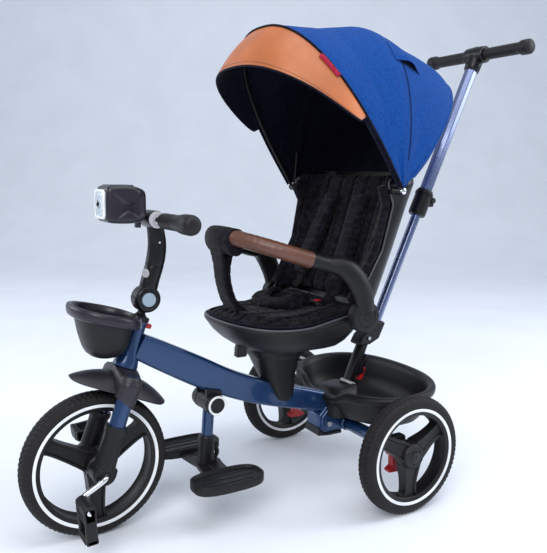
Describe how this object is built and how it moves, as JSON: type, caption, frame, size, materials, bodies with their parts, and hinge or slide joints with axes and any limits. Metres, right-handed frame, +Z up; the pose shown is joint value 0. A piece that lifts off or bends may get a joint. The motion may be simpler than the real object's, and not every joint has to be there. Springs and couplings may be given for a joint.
{
  "type": "children's tricycle",
  "caption": "Children's tricycle with a padded swivel seat, folding canopy, bumper bar, telescoping push bar, footrest and baskets.",
  "frame": {"origin": "on the ground, under the middle of the bounding box", "axes": "+Z up; -Y is the front; +X is the rider's left"},
  "size_m": [0.528, 1.1578, 1.0313],
  "materials": {
    "blue_paint": "metallic, glossy",
    "black_plastic": "satin, moulded",
    "pale_blue_paint": "metallic, glossy",
    "steel": "bare",
    "red_plastic": "moulded",
    "rubber": "matt, moulded tread",
    "grey_plastic": "matt, moulded",
    "silver_button": "metallic",
    "chrome": "polished",
    "lens": "frosted",
    "black_fabric": "padded, quilted",
    "brown_leather": "smooth",
    "blue_fabric": "melange weave",
    "tan_leather": "smooth, glossy"
  },
  "bodies": {
    "frame": {"head_tube": "blue_paint", "main_tube": "blue_paint", "seat_pedestal": "black_plastic", "rear_bracket": "pale_blue_paint", "rear_axle_beam": "blue_paint", "rear_axle": "steel", "rear_post": "black_plastic", "rear_basket": "black_plastic", "push_bar_lower_tube": "pale_blue_paint", "push_bar_bracket": "black_plastic", "front_basket": "black_plastic", "footrest_bracket": "black_plastic", "footrest_pin": "black_plastic"},
    "steering": {"fork": "blue_paint", "fork_boot_left": "black_plastic", "fork_boot_right": "black_plastic", "front_fender": "grey_plastic", "stem_base": "black_plastic"},
    "stem": {"handlebar_stem": "black_plastic", "handlebar": "chrome", "grip_left": "rubber", "grip_right": "rubber", "lamp_housing": "black_plastic", "lamp_lens": "lens"},
    "stem_button": {"stem_lock_button": "silver_button"},
    "front_wheel": {"front_tyre": "rubber", "front_rim": "black_plastic", "crank_axle": "chrome"},
    "left_pedal": {"pedal_left": "black_plastic"},
    "right_pedal": {"pedal_right": "black_plastic"},
    "rear_wheel_left": {"rear_tyre_left": "rubber", "rear_rim_left": "black_plastic"},
    "rear_wheel_right": {"rear_tyre_right": "rubber", "rear_rim_right": "black_plastic"},
    "brake_left": {"brake_lever_left": "red_plastic"},
    "brake_right": {"brake_lever_right": "red_plastic"},
    "footrest": {"footrest_post": "blue_paint", "foot_plates": "black_plastic"},
    "seat": {"seat_shell": "black_plastic", "seat_cushion": "black_fabric", "harness_buckle": "black_plastic"},
    "harness_button": {"buckle_button": "red_plastic"},
    "seat_tab": {"seat_release_tab": "black_plastic"},
    "backrest": {"backrest_shell": "black_plastic", "backrest_liner": "black_fabric", "canopy_rear_panel": "blue_fabric"},
    "bumper": {"bumper_frame": "black_plastic", "bumper_cover": "brown_leather"},
    "canopy_middle": {"canopy_middle_hoop": "black_plastic", "canopy_middle_panel": "blue_fabric"},
    "canopy_front": {"canopy_front_hoop": "black_plastic", "canopy_front_panel": "blue_fabric", "canopy_visor": "tan_leather"},
    "push_bar_upper": {"push_bar_upper_tube": "pale_blue_paint", "push_bar_clamp": "black_plastic", "push_handle_head": "black_plastic", "push_handle_grips": "rubber"},
    "push_button": {"handle_button": "black_plastic"},
    "post_lever": {"post_release_lever": "red_plastic"},
    "latch": {"steering_latch": "red_plastic"}
  },
  "joints": [
    {"name": "steering", "type": "hinge", "parent": "frame", "child": "steering", "pos_m": [0, -0.4349, 0.144], "axis": [0, 0.3256, 0.9455], "range_deg": [-30, 30]},
    {"name": "front_wheel_spin", "type": "hinge", "parent": "steering", "child": "front_wheel", "pos_m": [0, -0.4349, 0.144], "axis": [1, 0, 0], "continuous": true},
    {"name": "left_pedal_spin", "type": "hinge", "parent": "front_wheel", "child": "left_pedal", "pos_m": [0.117, -0.48753, 0.11519], "axis": [1, 0, 0], "continuous": true},
    {"name": "right_pedal_spin", "type": "hinge", "parent": "front_wheel", "child": "right_pedal", "pos_m": [-0.117, -0.38227, 0.17281], "axis": [1, 0, 0], "continuous": true},
    {"name": "rear_wheel_left_spin", "type": "hinge", "parent": "frame", "child": "rear_wheel_left", "pos_m": [0.243, 0.1601, 0.127], "axis": [1, 0, 0], "continuous": true},
    {"name": "rear_wheel_right_spin", "type": "hinge", "parent": "frame", "child": "rear_wheel_right", "pos_m": [-0.243, 0.1601, 0.127], "axis": [1, 0, 0], "continuous": true},
    {"name": "stem_fold", "type": "hinge", "parent": "steering", "child": "stem", "pos_m": [0, -0.32583, 0.46075], "axis": [-1, 0, 0], "range_deg": [-15, 12]},
    {"name": "stem_lock", "type": "slide", "parent": "stem", "child": "stem_button", "axis": [-1, 0, 0], "range_m": [0, 0.0025], "stiffness_N_per_m": 400, "springref_m": -0.001},
    {"name": "footrest_fold", "type": "hinge", "parent": "frame", "child": "footrest", "pos_m": [0, -0.1879, 0.23], "axis": [1, 0, 0], "range_deg": [0, 55]},
    {"name": "brake_left_press", "type": "hinge", "parent": "frame", "child": "brake_left", "pos_m": [0.197, 0.1601, 0.127], "axis": [1, 0, 0], "range_deg": [0, 15]},
    {"name": "brake_right_press", "type": "hinge", "parent": "frame", "child": "brake_right", "pos_m": [-0.197, 0.1601, 0.127], "axis": [1, 0, 0], "range_deg": [0, 15]},
    {"name": "seat_swivel", "type": "hinge", "parent": "frame", "child": "seat", "pos_m": [0, -0.0259, 0.33], "axis": [0, 0, 1], "range_deg": [-90, 90]},
    {"name": "harness_release", "type": "slide", "parent": "seat", "child": "harness_button", "axis": [0, 0, -1], "range_m": [0, 0.002], "stiffness_N_per_m": 300, "springref_m": -0.001},
    {"name": "seat_release", "type": "hinge", "parent": "seat", "child": "seat_tab", "pos_m": [0, -0.1019, 0.3362], "axis": [1, 0, 0], "range_deg": [0, 8]},
    {"name": "backrest_recline", "type": "hinge", "parent": "seat", "child": "backrest", "pos_m": [0, 0.0811, 0.418], "axis": [1, 0, 0], "range_deg": [0, 15]},
    {"name": "bumper_bar", "type": "hinge", "parent": "seat", "child": "bumper", "pos_m": [0, 0.0811, 0.418], "axis": [1, 0, 0], "range_deg": [0, 25]},
    {"name": "canopy_middle_fold", "type": "hinge", "parent": "backrest", "child": "canopy_middle", "pos_m": [0, 0.1451, 0.676], "axis": [-1, 0, 0], "range_deg": [0, 22]},
    {"name": "canopy_front_fold", "type": "hinge", "parent": "canopy_middle", "child": "canopy_front", "pos_m": [0, 0.1451, 0.676], "axis": [-1, 0, 0], "range_deg": [0, 32]},
    {"name": "push_bar_slide", "type": "slide", "parent": "frame", "child": "push_bar_upper", "axis": [0, -0.4163, -0.9092], "range_m": [0, 0.15]},
    {"name": "handle_release", "type": "slide", "parent": "push_bar_upper", "child": "push_button", "axis": [0, -0.3939, -0.9191], "range_m": [0, 0.003], "stiffness_N_per_m": 300, "springref_m": -0.001},
    {"name": "post_release", "type": "hinge", "parent": "frame", "child": "post_lever", "pos_m": [0, 0.21472, 0.24271], "axis": [-1, 0, 0], "range_deg": [0, 10]},
    {"name": "steering_lock", "type": "hinge", "parent": "frame", "child": "latch", "pos_m": [0, -0.32723, 0.40232], "axis": [-1, 0, 0], "range_deg": [0, 20]}
  ]
}
